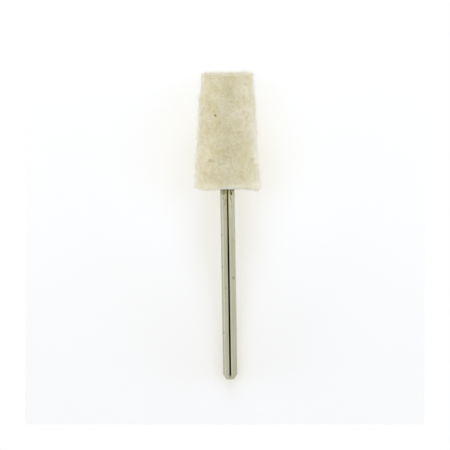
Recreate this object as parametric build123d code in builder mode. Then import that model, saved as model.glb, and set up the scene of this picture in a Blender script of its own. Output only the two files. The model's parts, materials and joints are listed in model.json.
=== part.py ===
from build123d import *
import os

# A felt polishing bob: a tapered head of pressed wool felt on a turned steel shank.
# Millimetres. The bob stands on the flat narrow nose of its felt: the origin is the middle of
# that face, and +Z runs up through the felt and along the shank to its free end.

# Felt head: a short steep taper at the nose, then a long gentle one to the back face
felt_length = 18.5
nose_diameter = 8.2
nose_taper_length = 5.8
taper_break_diameter = 9.25
back_diameter = 10.7
nose_edge_radius = 0.35
back_edge_radius = 0.6

# Steel shank, held by its bare length in a handpiece collet
shank_diameter = 2.35
shank_length = 44.5
shank_projection = 31.25
tip_chamfer_width = 0.5
tip_chamfer_length = 0.75
tip_edge_radius = 0.15

# Tang: the thinner glued end of the shank, whose shoulder sits on the felt's back face
tang_diameter = 2.0
tang_end_chamfer = 0.25

# Room for the glue around the tang and past its end
glue_gap = 0.02
bore_end_gap = 0.3

shank_radius = shank_diameter / 2
tang_radius = tang_diameter / 2
tang_length = shank_length - shank_projection
tang_end_z = felt_length - tang_length
shank_tip_z = felt_length + shank_projection
chamfer_start_z = shank_tip_z - tip_chamfer_length
bore_radius = tang_radius + glue_gap
bore_depth = tang_length + bore_end_gap

os.makedirs("parts", exist_ok=True)

# Felt head, turned from one block, with a blind bore for the tang
with BuildPart() as felt_head:
    with BuildSketch(Plane.XZ):
        with BuildLine():
            Polyline(
                (0, 0),
                (nose_diameter / 2, 0),
                (taper_break_diameter / 2, nose_taper_length),
                (back_diameter / 2, felt_length),
                (0, felt_length),
                close=True,
            )
        make_face()
    revolve(axis=Axis.Z)
    nose_edge = felt_head.edges().filter_by(GeomType.CIRCLE).group_by(Axis.Z)[0]
    fillet(nose_edge, nose_edge_radius)
    back_edge = felt_head.edges().filter_by(GeomType.CIRCLE).group_by(Axis.Z)[-1]
    fillet(back_edge, back_edge_radius)
    with BuildSketch(Plane.XY.offset(felt_length)):
        Circle(bore_radius)
    extrude(amount=-bore_depth, mode=Mode.SUBTRACT)

felt_head.part.label = "felt_head"
export_step(felt_head.part, "parts/felt_head.step")

# Shank, turned from one bar: the tang, the shoulder and the bare length with its chamfered tip
with BuildPart() as shank:
    with BuildSketch(Plane.XY.offset(tang_end_z)):
        Circle(tang_radius)
    extrude(amount=tang_length)
    tang_end_edge = shank.edges().filter_by(GeomType.CIRCLE).group_by(Axis.Z)[0]
    chamfer(tang_end_edge, tang_end_chamfer)
    with BuildSketch(Plane.XZ):
        with BuildLine():
            Polyline(
                (0, felt_length),
                (shank_radius, felt_length),
                (shank_radius, chamfer_start_z),
                (shank_radius - tip_chamfer_width, shank_tip_z),
                (0, shank_tip_z),
                close=True,
            )
        make_face()
    revolve(axis=Axis.Z)
    tip_edges = shank.edges().filter_by(GeomType.CIRCLE).group_by(Axis.Z)[-2:]
    fillet(tip_edges[0] + tip_edges[1], tip_edge_radius)

shank.part.label = "shank"
export_step(shank.part, "parts/shank.step")
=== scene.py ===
"""Dresses the felt polishing bob: its wool head, the loose fibres on it, its steel shank and the studio."""

import json
import math
import random

import bpy
from mathutils import Euler, Matrix, Vector

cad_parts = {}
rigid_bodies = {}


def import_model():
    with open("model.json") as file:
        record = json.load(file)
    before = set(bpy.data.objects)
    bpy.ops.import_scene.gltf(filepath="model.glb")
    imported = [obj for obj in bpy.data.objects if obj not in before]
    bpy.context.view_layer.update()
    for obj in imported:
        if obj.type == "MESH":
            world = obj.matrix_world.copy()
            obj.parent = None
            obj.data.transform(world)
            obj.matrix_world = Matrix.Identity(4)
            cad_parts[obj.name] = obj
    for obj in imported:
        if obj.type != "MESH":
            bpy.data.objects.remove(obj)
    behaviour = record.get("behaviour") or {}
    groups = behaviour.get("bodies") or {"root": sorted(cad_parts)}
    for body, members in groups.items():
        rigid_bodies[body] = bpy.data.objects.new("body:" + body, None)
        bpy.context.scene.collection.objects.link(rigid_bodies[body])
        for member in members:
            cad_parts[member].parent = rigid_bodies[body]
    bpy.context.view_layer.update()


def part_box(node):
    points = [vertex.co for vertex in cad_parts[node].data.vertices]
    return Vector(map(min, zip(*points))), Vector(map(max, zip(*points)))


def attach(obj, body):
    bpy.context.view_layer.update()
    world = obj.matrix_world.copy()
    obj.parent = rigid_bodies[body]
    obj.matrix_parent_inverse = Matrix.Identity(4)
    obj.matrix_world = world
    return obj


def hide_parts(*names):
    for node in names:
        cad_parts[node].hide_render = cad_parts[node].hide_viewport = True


bl_info = {
    "name": "Felt Polishing Bob",
    "version": (1, 0, 0),
    "blender": (4, 5, 0),
    "location": "View3D > Sidebar > Felt Bob",
    "description": "Builds a felt polishing bob's wool head, fibres and steel shank, and a white studio",
    "category": "Object",
}

MM = 0.001

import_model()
FELT_LOW, FELT_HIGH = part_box("felt_head")
SHANK_LOW, SHANK_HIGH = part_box("shank")


# Settings that a user would change

class WoolHeadSettings(bpy.types.PropertyGroup):
    """Sizes and colours of the pressed wool head"""

    length: bpy.props.FloatProperty(
        name="Length", description="From the nose face to the back face",
        default=FELT_HIGH.z - FELT_LOW.z, unit="LENGTH", precision=5)
    nose_diameter: bpy.props.FloatProperty(
        name="Nose diameter", description="Width of the flat nose before its edge is worn round",
        default=8.2 * MM, unit="LENGTH", precision=5)
    break_height: bpy.props.FloatProperty(
        name="Taper break height", description="Where the short nose taper meets the long one",
        default=5.8 * MM, unit="LENGTH", precision=5)
    break_diameter: bpy.props.FloatProperty(
        name="Taper break diameter", description="Width where the two tapers meet",
        default=9.25 * MM, unit="LENGTH", precision=5)
    back_diameter: bpy.props.FloatProperty(
        name="Back diameter", description="Width of the back face before its edge is rounded",
        default=10.7 * MM, unit="LENGTH", precision=5)
    nose_round: bpy.props.FloatProperty(
        name="Nose edge round", description="Radius of the nose edge",
        default=0.26 * MM, unit="LENGTH", precision=5)
    back_round: bpy.props.FloatProperty(
        name="Back edge round", description="Radius of the back edge",
        default=0.38 * MM, unit="LENGTH", precision=5)
    bore_diameter: bpy.props.FloatProperty(
        name="Bore diameter", description="Width of the blind bore that holds the tang",
        default=2.04 * MM, unit="LENGTH", precision=5)
    fuzz: bpy.props.FloatProperty(
        name="Fuzz", description="Thickness of the loose fibres; the wool under them is slimmer by it",
        default=0.10 * MM, unit="LENGTH", precision=5)
    lean: bpy.props.FloatProperty(
        name="Lean", description="How far the pressed head leans off the shank's line",
        default=math.radians(0.64), subtype="ANGLE")
    grain: bpy.props.FloatProperty(
        name="Mesh grain", description="Size of the mesh faces that carry the lumps of the felt",
        default=0.1 * MM, unit="LENGTH", precision=5)
    wool: bpy.props.FloatVectorProperty(
        name="Wool", description="Colour of the clean pressed wool",
        default=(0.685, 0.648, 0.508), subtype="COLOR", min=0.0, max=1.0)
    wool_deep: bpy.props.FloatVectorProperty(
        name="Deep wool", description="Colour of the yellower wool in the hollows",
        default=(0.53, 0.462, 0.25), subtype="COLOR", min=0.0, max=1.0)
    # Cut wool also paints light on the back rim and on the lip of the back face
    cut_wool_and_light: bpy.props.FloatVectorProperty(
        name="Cut wool", description="Colour of the paler wool on the cut end faces",
        default=(0.89, 0.86, 0.715), subtype="COLOR", min=0.0, max=1.0)
    # Worn wool also paints light on the nose face, most on its far edge
    worn_wool_and_light: bpy.props.FloatVectorProperty(
        name="Worn wool", description="Colour of the clean, roughened wool on the nose",
        default=(0.94, 0.87, 0.60), subtype="COLOR", min=0.0, max=1.0)
    smudge: bpy.props.FloatVectorProperty(
        name="Smudge", description="Colour of soft brown smudges",
        default=(0.36, 0.255, 0.11), subtype="COLOR", min=0.0, max=1.0)
    fleck: bpy.props.FloatVectorProperty(
        name="Fleck", description="Colour of the burrs and dirt pressed into the wool",
        default=(0.17, 0.105, 0.01), subtype="COLOR", min=0.0, max=1.0)


class FibreSettings(bpy.types.PropertyGroup):
    """How the loose wool fibres lie on the head"""

    length: bpy.props.FloatProperty(
        name="Length", description="Length of a middling fibre",
        default=0.8 * MM, unit="LENGTH", precision=5)
    thickness: bpy.props.FloatProperty(
        name="Thickness", description="Thickness of a fibre at its root",
        default=0.03 * MM, unit="LENGTH", precision=6)
    kinds: bpy.props.IntProperty(
        name="Kinds", description="How many differently curled fibres are modelled",
        default=7, min=1, max=20)
    seed: bpy.props.IntProperty(
        name="Seed", description="Start of the random curls and places", default=11)
    colour: bpy.props.FloatVectorProperty(
        name="Fibre", description="Colour of the single fibres",
        default=(0.76, 0.725, 0.59), subtype="COLOR", min=0.0, max=1.0)


class ShankSettings(bpy.types.PropertyGroup):
    """Sizes and colours of the turned steel shank"""

    diameter: bpy.props.FloatProperty(
        name="Diameter", description="Width of the bare shank",
        default=2.35 * MM, unit="LENGTH", precision=5)
    tang_diameter: bpy.props.FloatProperty(
        name="Tang diameter", description="Width of the end that is glued in the wool",
        default=2.0 * MM, unit="LENGTH", precision=5)
    tang_chamfer: bpy.props.FloatProperty(
        name="Tang chamfer", description="Size of the chamfer on the tang's end",
        default=0.25 * MM, unit="LENGTH", precision=5)
    tip_chamfer_width: bpy.props.FloatProperty(
        name="Tip chamfer width", description="How far the chamfer at the free end goes in",
        default=0.5 * MM, unit="LENGTH", precision=5)
    tip_chamfer_length: bpy.props.FloatProperty(
        name="Tip chamfer length", description="How far the chamfer at the free end runs along the shank",
        default=0.75 * MM, unit="LENGTH", precision=5)
    tip_round: bpy.props.FloatProperty(
        name="Tip edge round", description="Radius of the chamfer's edges",
        default=0.15 * MM, unit="LENGTH", precision=5)
    steel: bpy.props.FloatVectorProperty(
        name="Steel", description="Colour of the ground steel",
        default=(0.505, 0.50, 0.37), subtype="COLOR", min=0.0, max=1.0)
    # Residue also paints the shade on the steel under the wool's rim
    residue_and_shade: bpy.props.FloatVectorProperty(
        name="Residue", description="Colour of the glue and polish left beside the wool",
        default=(0.05, 0.04, 0.012), subtype="COLOR", min=0.0, max=1.0)


class StudioSettings(bpy.types.PropertyGroup):
    """Camera and light"""

    camera_distance: bpy.props.FloatProperty(
        name="Camera distance", description="From the camera to the bob's axis",
        default=0.35, unit="LENGTH")
    lens: bpy.props.FloatProperty(
        name="Lens", description="Focal length in millimetres on a 36 mm sensor",
        default=173.5)
    roll: bpy.props.FloatProperty(
        name="Roll", description="How far the camera is turned about its own line of sight",
        default=math.radians(0.9), subtype="ANGLE")
    look_height: bpy.props.FloatProperty(
        name="Look height", description="Height on the bob that lies in the middle of the picture",
        default=24.45 * MM, unit="LENGTH", precision=5)
    look_side: bpy.props.FloatProperty(
        name="Look side", description="How far beside the axis the picture's middle lies",
        default=0.47 * MM, unit="LENGTH", precision=5)
    paper: bpy.props.FloatVectorProperty(
        name="Paper", description="Colour of the floor and of the sheet behind the bob",
        default=(0.962, 0.962, 0.962), subtype="COLOR", min=0.0, max=1.0)
    sheet_size: bpy.props.FloatProperty(
        name="Sheet size", description="Width of the square sheet behind the bob",
        default=65.2 * MM, unit="LENGTH", precision=5)
    sheet_glow: bpy.props.FloatVectorProperty(
        name="Sheet glow", description="Share of the sheet's brightness that comes through it from behind",
        default=(0.46, 0.38, 0.13), subtype="COLOR", min=0.0, max=1.0)
    floor_glow: bpy.props.FloatVectorProperty(
        name="Floor glow", description="Share of the floor's brightness that comes through it from below",
        default=(0.6, 0.6, 0.6), subtype="COLOR", min=0.0, max=1.0)
    sheet_fade: bpy.props.FloatProperty(
        name="Sheet fade", description="Share by which the sheet is darker toward the shank's free end",
        default=0.035, min=0.0, max=1.0)
    tent_strength: bpy.props.FloatProperty(
        name="Tent light", description="Brightness of the white light tent", default=0.64, min=0.0)
    high_power: bpy.props.FloatProperty(
        name="High lamps", description="Power in watts of each of the two lamps beside the camera",
        default=0.14, min=0.0)
    nose_power: bpy.props.FloatProperty(
        name="Nose lamp", description="Power in watts of the lamp beyond the nose",
        default=0.44, min=0.0)
    shank_power: bpy.props.FloatProperty(
        name="Shank lamp", description="Power in watts of the lamp beyond the shank",
        default=0.06, min=0.0)
    left_power: bpy.props.FloatProperty(
        name="Left lamp", description="Power in watts of the low lamp on the picture's left",
        default=0.39, min=0.0)
    right_power: bpy.props.FloatProperty(
        name="Right lamp", description="Power in watts of the low lamp on the picture's right",
        default=0.39, min=0.0)
    opening: bpy.props.FloatProperty(
        name="Tent opening", description="Half the angle of the dark opening that the camera looks through",
        default=math.radians(14.0), subtype="ANGLE")


class FeltBobSettings(bpy.types.PropertyGroup):
    """All settings of the bob"""

    head: bpy.props.PointerProperty(type=WoolHeadSettings)
    fibres: bpy.props.PointerProperty(type=FibreSettings)
    shank: bpy.props.PointerProperty(type=ShankSettings)
    studio: bpy.props.PointerProperty(type=StudioSettings)


# Modelling helpers

def in_mm(values):
    """A vector given in millimetres."""
    return Vector([value * MM for value in values])


def let_go():
    """Leaves edit mode and deselects every object."""
    if bpy.context.object and bpy.context.object.mode != "OBJECT":
        bpy.ops.object.mode_set(mode="OBJECT")
    bpy.ops.object.select_all(action="DESELECT")


def take(piece):
    """Makes piece the only selected and the active object."""
    let_go()
    piece.select_set(True)
    bpy.context.view_layer.objects.active = piece


def pick(piece, kind, test):
    """Enters edit mode with the vertices, edges or faces of piece selected whose middle passes test."""
    bpy.ops.object.mode_set(mode="EDIT")
    bpy.ops.mesh.select_mode(type=kind)
    bpy.ops.mesh.select_all(action="DESELECT")
    bpy.ops.object.mode_set(mode="OBJECT")
    mesh = piece.data
    if kind == "VERT":
        for vertex in mesh.vertices:
            vertex.select = test(vertex.co)
    elif kind == "EDGE":
        for edge in mesh.edges:
            start, end = (mesh.vertices[i].co for i in edge.vertices)
            edge.select = test((start + end) / 2)
    else:
        for face in mesh.polygons:
            face.select = test(face.center)
    bpy.ops.object.mode_set(mode="EDIT")


def named(name):
    """Names the object that was just added; returns it."""
    piece = bpy.context.object
    piece.name = piece.data.name = name
    return piece


def extrude(move):
    """Pulls a new part out of the picked faces or edges."""
    bpy.ops.mesh.extrude_region_move(TRANSFORM_OT_translate={"value": move})


def widen(factor, centre):
    """Makes what is picked wider around centre, but no longer."""
    bpy.ops.transform.resize(value=(factor, factor, 1), center_override=centre)


def finish_modifier(piece, kind, **values):
    """Adds a modifier to piece, sets its values and applies it."""
    take(piece)
    modifier = piece.modifiers.new(kind.title(), kind)
    for name, value in values.items():
        setattr(modifier, name, value)
    bpy.ops.object.modifier_apply(modifier=modifier.name)


def smooth(piece, angle=None):
    """Shades piece smooth, all over or only across edges flatter than angle."""
    take(piece)
    if angle is None:
        bpy.ops.object.shade_smooth()
    else:
        bpy.ops.object.shade_smooth_by_angle(angle=angle)


def dress(piece, material):
    """Gives a finished piece its material and body."""
    piece.data.materials.clear()
    piece.data.materials.append(material)
    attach(piece, "root")


# Node helpers

def fill(tree, socket, value):
    """Sets a socket to a value, or links it to an output."""
    if isinstance(value, bpy.types.NodeSocket):
        tree.links.new(value, socket)
    else:
        socket.default_value = value


def feed(tree, node, inputs):
    """Fills the named inputs of a node."""
    for name, value in inputs.items():
        found = [socket for socket in node.inputs if socket.enabled and socket.name == name]
        if not found:
            raise RuntimeError(f"{node.name} has no input {name}")
        fill(tree, found[0], value)


def add_node(tree, kind, inputs=None, **values):
    """Adds a node, sets its values and fills its named inputs."""
    node = tree.nodes.new(kind)
    for name, value in values.items():
        setattr(node, name, value)
    feed(tree, node, inputs or {})
    return node


def live_output(node):
    """The first output that the node's settings leave in use."""
    return next(socket for socket in node.outputs if socket.enabled)


def operate(tree, kind, operation, values, **settings):
    """A Math or Vector Math node of the given values or outputs; returns its output."""
    node = add_node(tree, kind, operation=operation, **settings)
    for socket, value in zip([socket for socket in node.inputs if socket.enabled], values):
        fill(tree, socket, value)
    return live_output(node)


def math_node(tree, operation, *values, clamp=False):
    """The output of a Math node."""
    return operate(tree, "ShaderNodeMath", operation, values, use_clamp=clamp)


def vector_node(tree, operation, *values):
    """The output of a Vector Math node."""
    return operate(tree, "ShaderNodeVectorMath", operation, values)


def times(tree, first, second):
    """The product of both."""
    return math_node(tree, "MULTIPLY", first, second)


def larger(tree, first, second):
    """The larger one of both."""
    return math_node(tree, "MAXIMUM", first, second)


def scaled(tree, value, factor, start, clamp=False):
    """The value times factor, plus start."""
    return math_node(tree, "MULTIPLY_ADD", value, factor, start, clamp=clamp)


def split(tree, vector):
    """The X, Y and Z outputs of a vector."""
    return add_node(tree, "ShaderNodeSeparateXYZ", {"Vector": vector}).outputs


def off_axis(tree, place):
    """How far place lies from the bob's axis."""
    return vector_node(tree, "LENGTH", vector_node(tree, "MULTIPLY", place, (1, 1, 0)))


def ramp(tree, value, low, high):
    """0 up to low and 1 from high on, with a soft step between; low may be the larger."""
    return add_node(tree, "ShaderNodeMapRange", {"Value": value, "From Min": low, "From Max": high},
                    interpolation_type="SMOOTHSTEP").outputs["Result"]


def shaded(colour, factor):
    """A colour made darker or lighter by factor."""
    return tuple(part * factor for part in colour)


def mix_colour(tree, share, first, second, blend="MIX"):
    """A colour mix by share; returns its output."""
    node = add_node(tree, "ShaderNodeMix", data_type="RGBA", blend_type=blend, clamp_factor=True)
    for socket, value in ((node.inputs[0], share), (node.inputs[6], first), (node.inputs[7], second)):
        fill(tree, socket, (*value[:3], 1.0) if isinstance(value, tuple) else value)
    return node.outputs[2]


def mix_shaders(tree, share, first, second):
    """A shader mix by share; returns its output."""
    node = tree.nodes.new("ShaderNodeMixShader")
    for socket, value in zip(node.inputs, (share, first, second)):
        tree.links.new(value, socket)
    return node.outputs[0]


def noise(tree, place, size, detail=2.0, roughness=0.5, distortion=0.0):
    """Soft noise whose lumps are about size across; returns its 0 to 1 output."""
    node = add_node(tree, "ShaderNodeTexNoise",
                    {"Vector": place, "Scale": 1.0 / size, "Detail": detail,
                     "Roughness": roughness, "Distortion": distortion})
    return node.outputs["Fac"]


def bumps(tree, height, strength, depth):
    """The normals of a skin whose bumps follow height."""
    return add_node(tree, "ShaderNodeBump",
                    {"Strength": strength, "Distance": depth, "Height": height}).outputs["Normal"]


def new_group(name, inputs, outputs, kind="ShaderNodeTree"):
    """A node group with sockets of those kinds; returns it, what it is given, and its output node."""
    group = bpy.data.node_groups.new(name, kind)
    for in_out, sockets in (("INPUT", inputs), ("OUTPUT", outputs)):
        for socket_name, socket_kind in sockets.items():
            group.interface.new_socket(socket_name, in_out=in_out, socket_type=f"NodeSocket{socket_kind}")
    given = group.nodes.new("NodeGroupInput").outputs
    return group, given, group.nodes.new("NodeGroupOutput")


def place_group(tree, group, inputs):
    """Places a node group and fills its inputs; returns its outputs."""
    node = add_node(tree, "ShaderNodeGroup", node_tree=group)
    feed(tree, node, inputs)
    return node.outputs


def bare_tree(owner):
    """Switches a material or a world to nodes; returns its emptied tree."""
    owner.use_nodes = True
    owner.node_tree.nodes.clear()
    return owner.node_tree


def new_material(name):
    """A material with a bare Principled shader; returns it, its tree, the shader and Object coordinates."""
    material = bpy.data.materials.new(name)
    material.use_nodes = True
    tree = material.node_tree
    shader = tree.nodes["Principled BSDF"]
    place = tree.nodes.new("ShaderNodeTexCoord").outputs["Object"]
    return material, tree, shader, place


# Wool

def spot_group():
    """1 within an oval of the given half-widths around Middle, with a soft and slightly ragged border."""
    group, given, result = new_group(
        "Spot",
        {"Place": "Vector", "Middle": "Vector", "Half width": "Vector", "Ragged": "Float"},
        {"Mask": "Float"})
    off = vector_node(group, "SUBTRACT", given["Place"], given["Middle"])
    oval = vector_node(group, "DIVIDE", off, given["Half width"])
    wave = math_node(group, "SUBTRACT", noise(group, given["Place"], 0.12 * MM, detail=2.0), 0.5)
    reach = scaled(group, wave, given["Ragged"], vector_node(group, "LENGTH", oval))
    feed(group, result, {"Mask": ramp(group, reach, 1.4, 0.6)})
    return group


def mark(tree, spots, place, middle, half_width, strength, ragged=0.6):
    """The mask of one spot; middle and half_width in millimetres."""
    spot = place_group(tree, spots, {"Place": place, "Middle": in_mm(middle),
                                     "Half width": in_mm(half_width), "Ragged": ragged})
    return times(tree, spot["Mask"], strength)


def marks(tree, spots, place, table, ragged=0.6):
    """The mask of a table of spots, each with its middle, half-width and strength."""
    mask = 0.0
    for middle, half_width, strength in table:
        mask = larger(tree, mark(tree, spots, place, middle, half_width, strength, ragged), mask)
    return mask


def wool_tone_group():
    """Mottled tones of pressed wool: 0 in the yellow hollows, 1 on the pale fibres."""
    group, given, result = new_group("Wool tone", {"Place": "Vector"}, {"Tone": "Float", "Height": "Float"})
    place = given["Place"]
    broad = noise(group, place, 3.2 * MM, detail=2.0)
    patches = noise(group, place, 0.9 * MM, detail=3.0, roughness=0.6, distortion=0.6)
    tufts = noise(group, place, 0.35 * MM, detail=3.0, roughness=0.65, distortion=1.2)
    strands = noise(group, place, 0.19 * MM, detail=1.0, roughness=0.6, distortion=1.0)
    tone = scaled(group, broad, 0.30, 0.03)
    for grain, share in ((patches, 0.16), (tufts, 0.12), (strands, 0.36)):
        tone = scaled(group, grain, share, tone)
    height = scaled(group, strands, 0.4, tufts)
    feed(group, result, {"Tone": ramp(group, tone, 0.36, 0.64), "Height": height})
    return group


def uneven(tree, place, value, size, detail):
    """The value, moved up and down by lumps of that size."""
    wander = math_node(tree, "SUBTRACT", noise(tree, place, size, detail=detail), 0.5)
    return scaled(tree, wander, 0.9 * MM, value)


def stain_group(spots, head):
    """Where the wool is flecked, smudged or yellowed, where it is pale at its cut ends, where light is
    painted on the back rim and the nose, and where shade is painted on the near part of the nose face.
    """
    group, given, result = new_group(
        "Wool stains, painted light and shade", {"Place": "Vector"},
        {"Fleck": "Float", "Smudge": "Float", "Yellowed and shaded": "Float", "Rim": "Float", "Nose": "Float"})
    place = given["Place"]
    back = head.length / MM

    # Each mark's middle, half-width and strength, in millimetres
    flecks = (
        ((1.70, -4.25, 6.36), 0.155, 1.0), ((3.13, -3.46, 8.05), 0.09, 0.4),
        ((2.86, -3.73, 8.46), 0.09, 0.35), ((-3.77, -1.93, 2.38), 0.10, 0.5),
        ((2.02, -3.88, 3.91), 0.09, 0.3), ((-1.9, 4.1, 9.2), 0.11, 0.6),
        ((4.5, 1.0, 12.4), 0.10, 0.4), ((-4.2, 2.4, 14.9), 0.12, 0.5),
    )
    smudges = (
        ((2.66, -4.22, 13.55), (0.26, 0.6, 0.30), 0.55), ((2.22, -4.46, 13.55), (0.36, 0.6, 0.26), 0.36),
        ((-3.2, 3.8, 6.0), (0.5, 0.6, 0.35), 0.25),
    )
    yellow_patches = (
        ((0.7, -4.2, 2.2), (1.7, 1.2, 1.1), 0.36), ((-0.5, -4.8, 11.9), (2.0, 1.4, 1.5), 0.38),
        ((1.8, -4.6, 16.1), (1.9, 1.4, 0.8), 0.50), ((-2.9, -4.2, 16.0), (1.2, 1.2, 0.7), 0.40),
        ((3.0, -3.0, 1.9), (1.0, 1.2, 2.0), 0.55), ((3.2, -3.5, 9.4), (0.9, 1.2, 2.2), 0.45),
        ((3.2, -4.1, 16.3), (1.1, 1.2, 0.9), 0.50), ((-3.6, -3.3, 12.2), (1.1, 1.2, 1.8), 0.70),
        ((2.0, -3.8, 2.4), (1.3, 1.2, 0.9), 0.80), ((1.9, -4.2, 8.0), (1.2, 1.4, 6.5), 0.34),
    )
    glue_halo = ((0.15, -0.6, back - 0.1), (2.3, 2.7, 0.6), 0.40)
    # Painted light on the middle of the near back rim
    painted_rim_light = ((-0.3, -5.0, back - 0.4), (2.4, 2.0, 1.2), 0.45)

    fleck = marks(group, spots, place,
                  [(middle, (size, 3 * size, size), strength) for middle, size, strength in flecks])
    smudge = larger(group, mark(group, spots, place, *glue_halo, ragged=2.0),
                    marks(group, spots, place, smudges))

    parts = split(group, place)
    height = parts["Z"]
    # Painted shade: the near part of the nose face is yellowed and darker
    nose_front_shade = times(group, ramp(group, height, 0.24 * MM, 0.10 * MM),
                    ramp(group, parts["Y"], 2.5 * MM, -1.5 * MM))
    yellowed_and_shaded = larger(group, marks(group, spots, place, yellow_patches, ragged=1.6),
                      times(group, nose_front_shade, 0.6))

    # The nose is partly worn paler wool and partly painted light. It is pale from a slanted plane on, so its
    # far edge is paler than its near one.
    slant = scaled(group, parts["Y"], -0.10, height)
    nose = ramp(group, uneven(group, place, slant, 0.5 * MM, 2.0), 0.36 * MM, -0.20 * MM)

    # The back rim is paler cut wool with painted light on it, mostly in the middle of its near side
    rim = ramp(group, uneven(group, place, height, 1.2 * MM, 3.0),
               head.length - 1.5 * MM, head.length - 0.6 * MM)
    rim = times(group, rim, math_node(group, "ADD", mark(group, spots, place, *painted_rim_light), 0.2))

    # The back face starts where the skin turns in from the long taper; the lip there is given painted light.
    taper = (head.back_diameter - head.break_diameter) / 2 / (head.length - head.break_height)
    back_radius = head.back_diameter / 2 - head.fuzz
    side = scaled(group, height, taper, back_radius - taper * head.length)
    inward = math_node(group, "SUBTRACT", side, off_axis(group, place))
    near_back = ramp(group, height, head.length - 1.3 * MM, head.length - 0.8 * MM)
    face = times(group, ramp(group, inward, 0.06 * MM, 0.28 * MM), near_back)
    rim = larger(group, rim, times(group, face, 0.9))

    feed(group, result, {"Fleck": fleck, "Smudge": smudge, "Yellowed and shaded": yellowed_and_shaded, "Rim": rim, "Nose": nose})
    return group


def wool_colour(tree, place, head, dark, pale):
    """Mottled wool colour with its stains, with painted light on the back rim and the nose and painted shade
    on the near part of the nose face; returns the colour and the mottling's height.
    """
    tone, stains = (place_group(tree, bpy.data.node_groups[name], {"Place": place})
                    for name in ("Wool tone", "Wool stains, painted light and shade"))
    share = scaled(tree, stains["Yellowed and shaded"], -0.45, tone["Tone"], clamp=True)
    colour = mix_colour(tree, share, tuple(dark), tuple(pale))
    for mask, strength, end in (("Rim", 1.0, head.cut_wool_and_light), ("Nose", 0.45, head.worn_wool_and_light)):
        mottled = mix_colour(tree, share, shaded(end, 0.86), shaded(end, 1.06))
        colour = mix_colour(tree, times(tree, stains[mask], strength), colour, mottled)
    for mask, stain in (("Smudge", head.smudge), ("Fleck", head.fleck)):
        colour = mix_colour(tree, stains[mask], colour, tuple(stain))
    return colour, tone["Height"]


def wool_material(head):
    """Soft pressed wool with a bumpy skin."""
    material, tree, shader, place = new_material("Pressed wool")
    colour, height = wool_colour(tree, place, head, head.wool_deep, head.wool)
    feed(tree, shader, {"Base Color": colour, "Roughness": 0.95, "Specular IOR Level": 0.2,
                        "Sheen Weight": 1.0, "Sheen Roughness": 0.5,
                        "Sheen Tint": (1.0, 0.99, 0.96, 1.0),
                        "Normal": bumps(tree, height, 0.5, 0.06 * MM)})
    return material


def fibre_material(head, fibres):
    """Single wool fibres, paler than the pressed wool under them."""
    material, tree, shader, place = new_material("Loose wool fibre")
    colour = wool_colour(tree, place, head, head.wool, fibres.colour)[0]
    feed(tree, shader, {"Base Color": colour, "Roughness": 0.7, "Specular IOR Level": 0.3,
                        "Sheen Weight": 0.3, "Sheen Roughness": 0.4})
    return material


def model_wool_head(head):
    """The head as it is pressed and cut: two tapers and rounded edges."""
    let_go()
    tiny = 0.01 * MM
    nose_radius = head.nose_diameter / 2 - head.fuzz
    break_radius = head.break_diameter / 2 - head.fuzz
    back_radius = head.back_diameter / 2 - head.fuzz
    bpy.ops.mesh.primitive_cone_add(
        vertices=96, radius1=nose_radius, radius2=break_radius,
        depth=head.break_height, location=(0, 0, head.break_height / 2))
    piece = named("wool_head")
    bpy.ops.object.transform_apply(location=True, rotation=True, scale=True)
    back = Vector((0, 0, head.length))
    pick(piece, "FACE", lambda middle: middle.z > head.break_height - tiny)
    extrude((0, 0, head.length - head.break_height))
    widen(back_radius / break_radius, back)
    pick(piece, "EDGE", lambda middle: middle.z > head.length - tiny)
    bpy.ops.mesh.bevel(offset=head.back_round, segments=5, profile=0.5, affect="EDGES")
    pick(piece, "EDGE", lambda middle: middle.z < tiny)
    bpy.ops.mesh.bevel(offset=head.nose_round, segments=4, profile=0.5, affect="EDGES")
    bpy.ops.mesh.select_all(action="SELECT")
    bpy.ops.transform.rotate(value=-head.lean, orient_axis="Y", center_override=back)
    return piece


def cut_bore(piece, head, depth):
    """Sinks the blind bore into the middle of the back face, straight along the shank."""
    tiny = 0.05 * MM
    bore_radius = head.bore_diameter / 2
    face_radius = head.back_diameter / 2 - head.fuzz - head.back_round
    pick(piece, "FACE", lambda middle: middle.z > head.length - tiny and middle.xy.length < bore_radius)
    bpy.ops.mesh.inset(thickness=face_radius - bore_radius)
    extrude((0, 0, -depth))
    bpy.ops.object.mode_set(mode="OBJECT")


def press_lumps(piece):
    """Gives the head the uneven skin of pressed felt."""
    for name, size, depth in (("broad", 2.6 * MM, 0.14 * MM), ("lumps", 0.8 * MM, 0.055 * MM),
                              ("tufts", 0.28 * MM, 0.05 * MM)):
        clouds = bpy.data.textures.new(f"felt_{name}", "CLOUDS")
        clouds.noise_scale = size
        clouds.noise_depth = 2
        finish_modifier(piece, "DISPLACE", texture=clouds, texture_coords="LOCAL",
                        strength=depth, mid_level=0.5)


def nudge(piece, where, move, reach, falloff):
    """Pulls the skin at one place, with what lies within reach following."""
    nearest = min(range(len(piece.data.vertices)),
                  key=lambda i: (piece.data.vertices[i].co - where).length_squared)
    spot = piece.data.vertices[nearest].co.copy()
    pick(piece, "VERT", lambda place: (place - spot).length < 1e-7)
    bpy.ops.transform.translate(value=move, use_proportional_edit=True,
                                proportional_edit_falloff=falloff, proportional_size=reach)
    bpy.ops.object.mode_set(mode="OBJECT")


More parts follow.
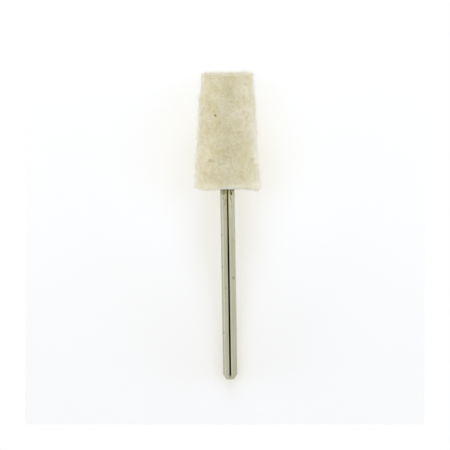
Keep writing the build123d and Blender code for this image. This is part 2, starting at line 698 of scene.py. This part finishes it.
def wear_down(piece, head):
    """Slants, dents and swells the skin, as wear has."""
    back = head.length / MM

    # Each place, how far it moves, and how far around it the skin follows, in millimetres
    slants = (
        ((1.7, -5.0, back - 0.2), (0, 0, -0.24), 4.0),
        ((-0.4, -5.0, back - 0.2), (0, 0, -0.36), 4.0),
        ((-2.4, -5.0, back - 0.2), (0, 0, -0.28), 4.0),
        ((0, 4.0, 0), (0, 0, 0.17), 7.0),
    )
    dents = (
        ((1.5, -4.9, back - 0.1), (0, 0, -0.06), 1.0), ((0.2, -5.1, back - 0.1), (0, 0, -0.09), 1.5),
        ((4.9, -1.8, back), (0.06, 0, -0.14), 1.2), ((-4.2, -0.5, 2.0), (-0.14, 0, 0), 3.4),
        ((-4.8, -0.5, 12.4), (0.16, 0, 0), 2.6), ((-4.8, -1.6, back - 0.2), (-0.12, 0, 0.36), 1.7),
        ((-3.8, -0.3, 0.2), (-0.18, 0, -0.08), 1.1), ((4.0, -0.3, 0.2), (0.16, 0, -0.04), 1.2),
        ((5.1, -0.5, 15.8), (-0.12, 0, 0), 2.6), ((-4.9, -0.3, 16.8), (-0.14, 0, 0), 1.8),
        ((3.9, -3.4, back - 0.1), (0, 0, 0.06), 1.0), ((2.6, -4.5, back - 0.1), (0, 0, 0.12), 1.0),
        ((-3.5, -3.9, back - 0.1), (0, 0, 0.09), 1.0), ((-4.5, -0.3, 6.8), (0.08, 0, 0), 1.2),
        ((-4.4, -0.3, 4.9), (-0.12, 0, 0), 1.5), ((4.4, -0.3, 4.4), (0.10, 0, 0), 1.5),
    )
    for rows, falloff in ((slants, "LINEAR"), (dents, "SMOOTH")):
        for where, move, reach in rows:
            nudge(piece, in_mm(where), in_mm(move), reach * MM, falloff)


class FELTBOB_OT_wool_head(bpy.types.Operator):
    """Model the pressed wool head in place of its plain solid"""

    bl_idname = "felt_bob.wool_head"
    bl_label = "Wool Head"

    def execute(self, context):
        head = context.scene.felt_bob.head
        piece = model_wool_head(head)
        cut_bore(piece, head, head.length - SHANK_LOW.z)
        finish_modifier(piece, "REMESH", mode="VOXEL", voxel_size=head.grain)
        wear_down(piece, head)
        press_lumps(piece)
        smooth(piece)
        wool_tone_group()
        stain_group(spot_group(), head)
        dress(piece, wool_material(head))
        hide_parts("felt_head")
        return {"FINISHED"}


# Loose fibres

def model_fibre(number, fibres, dice):
    """One curled fibre, three-sided and tapering, that stands on the origin."""
    let_go()
    thickness = fibres.thickness * dice.uniform(0.7, 1.15)
    bpy.ops.mesh.primitive_circle_add(vertices=3, radius=thickness / 2, fill_type="NGON")
    piece = named(f"fibre_{number}")
    bpy.ops.object.mode_set(mode="EDIT")
    bpy.ops.mesh.select_all(action="SELECT")
    heading = Vector((0, 0, 1))
    tip = Vector((0, 0, 0))
    steps = 4
    thinning = (0.86, 0.86, 0.86)
    for step in range(steps):
        heading.rotate(Euler((dice.uniform(-0.55, 0.75), dice.uniform(-0.5, 0.5), 0)))
        move = heading * fibres.length / steps
        tip += move
        extrude(move)
        bpy.ops.transform.resize(value=thinning, center_override=tip)
    bpy.ops.mesh.select_all(action="SELECT")
    bpy.ops.mesh.normals_make_consistent(inside=False)
    bpy.ops.object.mode_set(mode="OBJECT")
    return piece


def fibre_group():
    """Lays fibres on a mesh where it faces up by Facing from to Facing to, is farther than Clear radius
    off the bob's axis, and lies within a distance of Round. A fibre leans by Lie off the surface."""
    numbers = ("Density", "Facing from", "Facing to", "Clear radius", "Lie from", "Lie to",
               "Size from", "Size to", "Within")
    group, given, result = new_group(
        "Lay fibres",
        {"Geometry": "Geometry", "Fibres": "Collection", "Kinds": "Int", "Seed": "Int",
         "Round": "Vector", **{name: "Float" for name in numbers}},
        {"Geometry": "Geometry"}, kind="GeometryNodeTree")

    def chance(kind, low, high, salt):
        """A random value for each fibre, from low to high."""
        seed = math_node(group, "ADD", given["Seed"], salt)
        return live_output(add_node(group, "FunctionNodeRandomValue",
                                    {"Min": low, "Max": high, "Seed": seed}, data_type=kind))

    normal = add_node(group, "GeometryNodeInputNormal").outputs[0]
    place = add_node(group, "GeometryNodeInputPosition").outputs[0]
    facing = split(group, normal)["Z"]
    away = vector_node(group, "DISTANCE", place, given["Round"])
    chosen = math_node(group, "GREATER_THAN", facing, given["Facing from"])
    for test in (math_node(group, "LESS_THAN", facing, given["Facing to"]),
                 math_node(group, "GREATER_THAN", off_axis(group, place), given["Clear radius"]),
                 math_node(group, "LESS_THAN", away, given["Within"])):
        chosen = times(group, chosen, test)
    points = add_node(group, "GeometryNodeDistributePointsOnFaces",
                      {"Mesh": given["Geometry"], "Selection": chosen, "Density": given["Density"],
                       "Seed": given["Seed"]}, distribute_method="RANDOM")
    spin = add_node(group, "ShaderNodeCombineXYZ", {"Z": chance("FLOAT", 0.0, math.tau, 1)})
    lie = add_node(group, "ShaderNodeCombineXYZ",
                   {"X": chance("FLOAT", given["Lie from"], given["Lie to"], 2)})
    turned = points.outputs["Rotation"]
    for turn in (spin, lie):
        angle = add_node(group, "FunctionNodeEulerToRotation", {"Euler": turn.outputs[0]})
        turned = add_node(group, "FunctionNodeRotateRotation",
                          {"Rotation": turned, "Rotate By": angle.outputs[0]},
                          rotation_space="LOCAL").outputs[0]
    kinds = add_node(group, "GeometryNodeCollectionInfo",
                     {"Collection": given["Fibres"], "Separate Children": True, "Reset Children": True})
    laid = add_node(group, "GeometryNodeInstanceOnPoints",
                    {"Points": points.outputs["Points"], "Instance": kinds.outputs[0],
                     "Pick Instance": True, "Rotation": turned,
                     "Instance Index": chance("INT", 0, given["Kinds"], 3),
                     "Scale": chance("FLOAT", given["Size from"], given["Size to"], 4)})
    real = add_node(group, "GeometryNodeRealizeInstances", {"Geometry": laid.outputs["Instances"]})
    group.links.new(real.outputs[0], result.inputs[0])
    return group


class FELTBOB_OT_fibres(bpy.types.Operator):
    """Lay loose wool fibres over the head"""

    bl_idname = "felt_bob.fibres"
    bl_label = "Loose Fibres"

    def execute(self, context):
        settings = context.scene.felt_bob
        fibres = settings.fibres
        wool = bpy.data.objects.get("wool_head")
        if wool is None:
            raise RuntimeError("the wool head comes before its fibres")
        dice = random.Random(fibres.seed)
        kinds = bpy.data.collections.new("fibre_kinds")
        for number in range(fibres.kinds):
            fibre = model_fibre(number, fibres, dice)
            for home in list(fibre.users_collection):
                home.objects.unlink(fibre)
            kinds.objects.link(fibre)
        group = fibre_group()
        material = fibre_material(settings.head, fibres)
        share = 1.0
        everywhere = {"Round": (0, 0, 0), "Within": 1.0, "Clear radius": 1.5 * MM}
        closed = {"Clear radius": 0.0}
        tuft = {"Clear radius": 0.0, "Round": in_mm((-3.3, 0.6, 0.1)), "Within": 0.9 * MM}

        # Each piece's seed, density, facing, lie and size, and where it differs from everywhere
        layers = (
            ("matted_fibres", 3, 12.5e6 * share, (-0.7, 0.7), (1.4, 1.6), (0.6, 1.2), {}),
            ("side_fuzz", 5, 11.0e6 * share, (-0.7, 0.7), (1.28, 1.57), (0.2, 0.5), {}),
            ("nose_fuzz", 7, 26e6 * share, (-2.0, -0.3), (0.3, 1.3), (0.2, 0.75), closed),
            ("nose_tuft", 13, 15e6, (-2.0, 0.2), (0.0, 0.8), (0.5, 1.15), tuft),
            ("back_fuzz", 9, 40e6 * share, (0.3, 2.0), (0.9, 1.5), (0.2, 0.5), {}),
        )
        for name, seed, density, facing, lie, size, different in layers:
            piece = bpy.data.objects.new(name, wool.data.copy())
            piece.data.name = name
            context.collection.objects.link(piece)
            take(piece)
            modifier = piece.modifiers.new("Lay fibres", "NODES")
            modifier.node_group = group
            values = {"Fibres": kinds, "Kinds": fibres.kinds - 1, "Seed": seed, "Density": density,
                      "Facing from": facing[0], "Facing to": facing[1], "Lie from": lie[0], "Lie to": lie[1],
                      "Size from": size[0], "Size to": size[1], **everywhere, **different}
            for socket in group.interface.items_tree:
                if socket.in_out == "INPUT" and socket.name in values:
                    modifier[socket.identifier] = values[socket.name]
            bpy.ops.object.modifier_apply(modifier=modifier.name)
            smooth(piece)
            dress(piece, material)
        for fibre in list(kinds.objects):
            bpy.data.objects.remove(fibre)
        bpy.data.collections.remove(kinds)
        return {"FINISHED"}


# Steel

def steel_material(shank, spots):
    """Ground steel with streaks along it, with glue and polish left beside the wool, and with painted shade
    right under the wool's rim.
    """
    material, tree, shader, place = new_material("Ground steel")
    seat = FELT_HIGH.z / MM

    # Each speck's middle, half-width and strength, in millimetres; the first five, at the wool's edge, are
    # partly residue and partly painted shade
    specks_and_shade = (
        ((0.62, -0.97, seat + 0.14), (0.45, 0.5, 0.26), 0.75),
        ((0.2, -1.15, seat + 0.02), (0.3, 0.5, 0.15), 0.6),
        ((-0.85, -0.80, seat + 0.10), (0.28, 0.5, 0.30), 0.8),
        ((-0.35, -1.1, seat + 0.05), (0.25, 0.5, 0.16), 0.6),
        ((0.70, -0.94, seat + 0.45), (0.50, 0.5, 0.50), 0.5),
        ((-0.60, -1.01, 19.20), (0.16, 0.3, 0.30), 1.0), ((-0.52, -1.05, 18.80), (0.12, 0.3, 0.28), 0.85),
        ((0.35, -1.1, 20.3), (0.20, 0.4, 0.45), 0.2), ((-0.50, -1.06, 19.85), (0.09, 0.3, 0.35), 0.5),
        ((0.76, -0.89, 20.0), (0.10, 0.3, 0.28), 0.35), ((-0.04, -1.17, 19.4), (0.12, 0.3, 0.5), 0.4),
        ((0.46, -1.08, 20.9), (0.08, 0.3, 0.22), 0.35), ((-0.60, -1.01, 20.35), (0.07, 0.3, 0.35), 0.35),
        ((-0.67, -0.96, 21.29), (0.07, 0.3, 0.5), 0.25), ((-1.01, -0.59, 25.07), (0.06, 0.2, 0.12), 0.5),
        ((-1.04, -0.55, 25.57), (0.06, 0.2, 0.1), 0.5), ((-0.97, -0.66, 27.01), (0.06, 0.2, 0.12), 0.4),
        ((-0.80, -0.85, 33.0), (0.30, 0.5, 0.25), 0.3), ((0.98, -0.65, 26.0), (0.10, 0.2, 0.2), 0.4),
        ((0.98, -0.65, 31.2), (0.08, 0.2, 0.2), 0.4), ((0.47, -1.07, 34.6), (0.08, 0.2, 0.15), 0.35),
        ((0.91, -0.74, 42.0), (0.08, 0.2, 0.2), 0.35), ((0.3, 1.14, 20.2), (0.2, 0.4, 0.5), 0.5),
        ((1.1, 0.4, 28.6), (0.2, 0.15, 0.2), 0.35),
    )
    height = split(tree, place)["Z"]

    def beside_wool(far, near):
        """0 from far millimetres off the wool, to 1 at near."""
        return ramp(tree, height, FELT_HIGH.z + far * MM, FELT_HIGH.z + near * MM)

    stretched = add_node(tree, "ShaderNodeMapping", {"Vector": place, "Scale": (1.0, 1.0, 0.03)})
    streaks = noise(tree, stretched.outputs[0], 0.16 * MM, detail=2.0)
    clouds = noise(tree, place, 1.6 * MM, detail=3.0)
    tone = scaled(tree, streaks, 0.5, times(tree, clouds, 0.3))
    colour = mix_colour(tree, ramp(tree, tone, 0.25, 0.60), shaded(shank.steel, 0.93),
                        shaded(shank.steel, 1.06))
    mirrored_wool = tuple(part * share for part, share in zip(shank.steel, (0.98, 0.96, 0.78)))
    colour = mix_colour(tree, beside_wool(1.8, 0.3), colour, mirrored_wool)

    blotch = noise(tree, place, 0.40 * MM, detail=3.0, roughness=0.6)
    # The film is partly polish residue and partly painted shade, darkest right at the wool
    film_and_shade = times(tree, beside_wool(2.2, 0.0), ramp(tree, blotch, 0.42, 0.70))
    glue = times(tree, beside_wool(1.3, 0.4), ramp(tree, blotch, 0.20, 0.60))
    dirt_and_shade = marks(tree, spots, place, specks_and_shade, ragged=1.1)
    for layer, strength in ((film_and_shade, 0.28), (glue, 0.36)):
        dirt_and_shade = larger(tree, dirt_and_shade, times(tree, layer, strength))
    # The residue colour paints both the dirt and the painted shade beside the wool
    colour = mix_colour(tree, dirt_and_shade, colour, tuple(shank.residue_and_shade))

    chamfer = SHANK_HIGH.z - shank.tip_chamfer_length
    turned = ramp(tree, height, chamfer - 0.05 * MM, chamfer + 0.05 * MM)
    rough = scaled(tree, clouds, 0.05, 0.025)
    for layer, strength in ((dirt_and_shade, 0.22), (turned, 0.32)):
        rough = scaled(tree, layer, strength, rough)
    feed(tree, shader, {"Base Color": colour, "Roughness": rough,
                        "Normal": bumps(tree, streaks, 0.10, 0.006 * MM),
                        "Metallic": scaled(tree, dirt_and_shade, -0.35, 1.0)})
    return material


def model_shank(shank):
    """The turned shank: tang, shoulder, bare length and chamfered free end."""
    let_go()
    tiny = 0.01 * MM
    radius = shank.diameter / 2
    low, seat, high = SHANK_LOW.z, FELT_HIGH.z, SHANK_HIGH.z
    bpy.ops.mesh.primitive_cylinder_add(
        vertices=160, radius=shank.tang_diameter / 2, depth=seat - low, location=(0, 0, (low + seat) / 2))
    piece = named("steel_shank")
    bpy.ops.object.transform_apply(location=True, rotation=True, scale=True)
    pick(piece, "EDGE", lambda middle: middle.z < low + tiny)
    bpy.ops.mesh.bevel(offset=shank.tang_chamfer, segments=1, affect="EDGES")
    pick(piece, "FACE", lambda middle: middle.z > seat - tiny)
    extrude((0, 0, 0))
    widen(shank.diameter / shank.tang_diameter, (0, 0, seat))
    wall_top = high - shank.tip_chamfer_length
    extrude((0, 0, wall_top - seat))
    extrude((0, 0, shank.tip_chamfer_length))
    widen((radius - shank.tip_chamfer_width) / radius, (0, 0, high))
    pick(piece, "EDGE", lambda middle: min(abs(middle.z - high), abs(middle.z - wall_top)) < tiny)
    bpy.ops.mesh.bevel(offset=shank.tip_round / 2, segments=4, affect="EDGES")
    bpy.ops.object.mode_set(mode="OBJECT")
    return piece


class FELTBOB_OT_shank(bpy.types.Operator):
    """Model the turned steel shank in place of its plain solid"""

    bl_idname = "felt_bob.shank"
    bl_label = "Steel Shank"

    def execute(self, context):
        shank = context.scene.felt_bob.shank
        piece = model_shank(shank)
        smooth(piece, angle=math.radians(25))
        dress(piece, steel_material(shank, bpy.data.node_groups["Spot"]))
        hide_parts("shank")
        return {"FINISHED"}


# Studio

def lying_lines(head, shank):
    """The bob as the photograph shows it lies on its back rim and its tip: returns the direction along
    the sheet from nose to tip, the direction from the sheet to the camera, and the sheet's distance."""
    rim = head.back_diameter / 2
    wall_top = SHANK_HIGH.z - shank.tip_chamfer_length
    tilt = math.atan2(rim - shank.diameter / 2, wall_top - head.length)
    along = Vector((0, -math.sin(tilt), math.cos(tilt)))
    up = Vector((0, -math.cos(tilt), -math.sin(tilt)))
    touching = Vector((0, rim, head.length))
    return along, up, -touching.dot(up)


def paper_material(name, paper, glow, fade, reach):
    """White paper lit from behind, which shows only the rest of its brightness as light and shade, is
    darker by fade toward the shank's end, and is lost in the white of the tent from reach on. The camera
    looks through it from the back."""
    material = bpy.data.materials.new(name)
    tree = bare_tree(material)
    seen = tree.nodes.new("ShaderNodeLightPath").outputs["Is Camera Ray"]
    place = tree.nodes.new("ShaderNodeTexCoord").outputs["Object"]
    toward_end = ramp(tree, split(tree, place)["Y"], 12 * MM, -26 * MM)
    bright = scaled(tree, toward_end, -fade, 1.0)
    through = mix_colour(tree, seen, (max(glow),) * 3, tuple(glow))
    lit_up = mix_colour(tree, 1.0, through, tuple(paper), blend="MULTIPLY")
    rest = mix_colour(tree, 1.0, tuple(paper), lit_up, blend="SUBTRACT")
    matt = add_node(tree, "ShaderNodeBsdfDiffuse", {"Color": vector_node(tree, "SCALE", rest, bright)})
    light = add_node(tree, "ShaderNodeEmission", {"Color": lit_up, "Strength": bright})
    lit = tree.nodes.new("ShaderNodeAddShader")
    tree.links.new(matt.outputs[0], lit.inputs[0])
    tree.links.new(light.outputs[0], lit.inputs[1])
    white = tree.nodes.new("ShaderNodeEmission")
    clear = tree.nodes.new("ShaderNodeBsdfTransparent")
    away = ramp(tree, vector_node(tree, "LENGTH", place), reach * 0.5, reach)
    front = mix_shaders(tree, away, lit.outputs[0], white.outputs[0])
    back = tree.nodes.new("ShaderNodeNewGeometry").outputs["Backfacing"]
    output = tree.nodes.new("ShaderNodeOutputMaterial")
    tree.links.new(mix_shaders(tree, back, front, clear.outputs[0]), output.inputs["Surface"])
    return material


def turn_of(x_way, y_way, z_way):
    """The rotation whose local axes point those ways."""
    return Matrix((x_way, y_way, z_way)).transposed().to_quaternion()


def add_sheet(name, size, material):
    """A square sheet of paper at the origin."""
    let_go()
    bpy.ops.mesh.primitive_plane_add(size=size)
    sheet = named(name)
    sheet.data.materials.append(material)
    return sheet


def add_lamp(name, target, away, width, watts, colour):
    """A soft box away from target that points at it, and that the steel doesn't mirror."""
    let_go()
    bpy.ops.object.light_add(type="AREA", location=target + away)
    lamp = named(name)
    lamp.rotation_euler = (-away).to_track_quat("-Z", "Y").to_euler()
    lamp.data.shape = "RECTANGLE"
    lamp.data.size = width
    lamp.data.size_y = 0.20
    lamp.data.energy = watts
    lamp.data.color = colour
    lamp.visible_glossy = False


def tent_world(studio):
    """White tent light; what the steel mirrors of it has the camera's dark opening."""
    world = bpy.data.worlds.new("Light tent")
    tree = bare_tree(world)
    way = split(tree, tree.nodes.new("ShaderNodeTexCoord").outputs["Generated"])
    turn = math_node(tree, "ARCTAN2", way["X"], times(tree, way["Y"], -1.0))

    def raised(start, full):
        """0 at start degrees above the floor's level, to 1 at full degrees."""
        return ramp(tree, way["Z"], math.sin(math.radians(start)), math.sin(math.radians(full)))

    def strip(middle, edge, core):
        """0 from edge degrees beside a turn of middle degrees, to 1 within core degrees."""
        off = math_node(tree, "ABSOLUTE", math_node(tree, "SUBTRACT", turn, math.radians(middle)))
        return ramp(tree, off, math.radians(edge), math.radians(core))

    # The opening is a little right of the camera, and narrower where the steel near the wool mirrors it.
    along = raised(7.4, 10.6)
    beside = math_node(tree, "ADD", turn, math.radians(1.4))
    narrowing = scaled(tree, along, -0.21, 1.17)
    off_opening = times(tree, math_node(tree, "ABSOLUTE", beside), narrowing)
    wall = ramp(tree, off_opening, studio.opening * 0.92, studio.opening * 1.08)
    inside = mix_colour(tree, along, (0.08, 0.035, 0.0), (0.010, 0.008, 0.0))

    # The wall has a warm fringe left of the opening, and is a little blue farther left.
    left = strip(90, 17, 5)
    fringe = times(tree, ramp(tree, beside, studio.opening * 2.4, studio.opening * 1.2),
                   ramp(tree, beside, 0.0, studio.opening * 0.5))
    fringe = times(tree, fringe, scaled(tree, along, -0.85, 0.85))
    wall_colour = mix_colour(tree, left, (1.0, 1.0, 1.0), (1.0, 1.0, 1.18))
    wall_colour = mix_colour(tree, fringe, wall_colour, (1.15, 0.90, 0.50))

    right_low = times(tree, raised(8.9, 7.1), ramp(tree, turn, math.radians(-16), math.radians(-30)))
    wall_light = 0.95
    for glow, strength in ((left, 0.34), (strip(-29, 14, 4), 0.17), (right_low, 0.20)):
        wall_light = scaled(tree, glow, strength, wall_light)

    tent = add_node(tree, "ShaderNodeBackground", {"Strength": studio.tent_strength})
    mirror = add_node(tree, "ShaderNodeBackground",
                      {"Color": mix_colour(tree, wall, inside, wall_colour), "Strength": wall_light})
    white = add_node(tree, "ShaderNodeBackground", {"Strength": 1.0})
    for background in (tent, white):
        feed(tree, background, {"Color": (1.0, 1.0, 1.0, 1.0)})
    seen = tree.nodes.new("ShaderNodeLightPath")
    shown = tent.outputs[0]
    for ray, background in (("Is Glossy Ray", mirror), ("Is Transmission Ray", white),
                            ("Is Camera Ray", white)):
        shown = mix_shaders(tree, seen.outputs[ray], shown, background.outputs[0])
    output = tree.nodes.new("ShaderNodeOutputWorld")
    tree.links.new(shown, output.inputs["Surface"])
    return world


class FELTBOB_OT_studio(bpy.types.Operator):
    """Set up the paper, the light tent, the lamps and the camera"""

    bl_idname = "felt_bob.studio"
    bl_label = "Studio"

    def execute(self, context):
        scene = context.scene
        settings = scene.felt_bob
        studio = settings.studio
        along, up, depth = lying_lines(settings.head, settings.shank)
        across = Vector((-1, 0, 0))
        look = Vector((studio.look_side, 0, studio.look_height))

        right = across * math.cos(studio.roll) + along * math.sin(studio.roll)
        above = across * math.sin(studio.roll) - along * math.cos(studio.roll)
        gap = 0.05 * MM
        sheet = add_sheet("paper_sheet", studio.sheet_size,
                          paper_material("White sheet", studio.paper, studio.sheet_glow,
                                         fade=studio.sheet_fade, reach=1.0))
        sheet.matrix_world = Matrix.LocRotScale(
            look - up * (depth + look.dot(up) + gap), turn_of(right, above, up), None)
        floor_size = 0.6
        floor = add_sheet("paper_floor", floor_size,
                          paper_material("White floor", studio.paper, studio.floor_glow,
                                         fade=0.0, reach=0.16))
        floor.visible_shadow = False
        floor.visible_diffuse = False
        floor.visible_glossy = False

        scene.world = tent_world(studio)
        distance = 0.35

        def leaning(way, degrees):
            """The place at that distance which leans off up toward way."""
            return (up * math.cos(math.radians(degrees)) + way * math.sin(math.radians(degrees))) * distance

        toward_nose = along * (-0.15 * distance)
        low = up * 0.03
        white = (1.0, 1.0, 1.0)
        cool = (0.90, 0.97, 1.12)
        for name, away, width, power, colour in (
                ("nose_lamp", leaning(along, -60), 0.28, studio.nose_power, white),
                ("shank_lamp", leaning(along, 62), 0.28, studio.shank_power, white),
                ("high_left_lamp", leaning(across, -30) + toward_nose, 0.20, studio.high_power, white),
                ("high_right_lamp", leaning(across, 41) + toward_nose, 0.20, studio.high_power, white),
                ("left_lamp", low - across * 0.30, 0.10, studio.left_power, white),
                ("right_lamp", low + across * 0.30, 0.10, studio.right_power, cool)):
            add_lamp(name, look, away, width, power, colour)

        camera = bpy.data.objects.new("camera", bpy.data.cameras.new("camera"))
        scene.collection.objects.link(camera)
        camera.data.lens = studio.lens
        camera.data.sensor_width = 36.0
        camera.location = look + up * studio.camera_distance
        camera.rotation_euler = turn_of(right, above, up).to_euler()
        scene.camera = camera

        scene.view_settings.view_transform = "Standard"
        return {"FINISHED"}


class FELTBOB_PT_panel(bpy.types.Panel):
    """Buttons and settings of the felt bob"""

    bl_idname = "FELTBOB_PT_panel"
    bl_label = "Felt Bob"
    bl_space_type = "VIEW_3D"
    bl_region_type = "UI"
    bl_category = "Felt Bob"

    def draw(self, context):
        settings = context.scene.felt_bob
        for operator, group in (("felt_bob.wool_head", settings.head), ("felt_bob.fibres", settings.fibres),
                                ("felt_bob.shank", settings.shank), ("felt_bob.studio", settings.studio)):
            box = self.layout.box()
            box.operator(operator)
            for name in group.__annotations__:
                box.prop(group, name)


CLASSES = (WoolHeadSettings, FibreSettings, ShankSettings, StudioSettings, FeltBobSettings,
           FELTBOB_OT_wool_head, FELTBOB_OT_fibres, FELTBOB_OT_shank, FELTBOB_OT_studio, FELTBOB_PT_panel)


def register():
    for item in CLASSES:
        bpy.utils.register_class(item)
    bpy.types.Scene.felt_bob = bpy.props.PointerProperty(type=FeltBobSettings)


def unregister():
    del bpy.types.Scene.felt_bob
    for item in reversed(CLASSES):
        bpy.utils.unregister_class(item)


def main():
    register()
    bpy.ops.felt_bob.wool_head()
    bpy.ops.felt_bob.fibres()
    bpy.ops.felt_bob.shank()
    bpy.ops.felt_bob.studio()


if __name__ == "__main__":
    main()
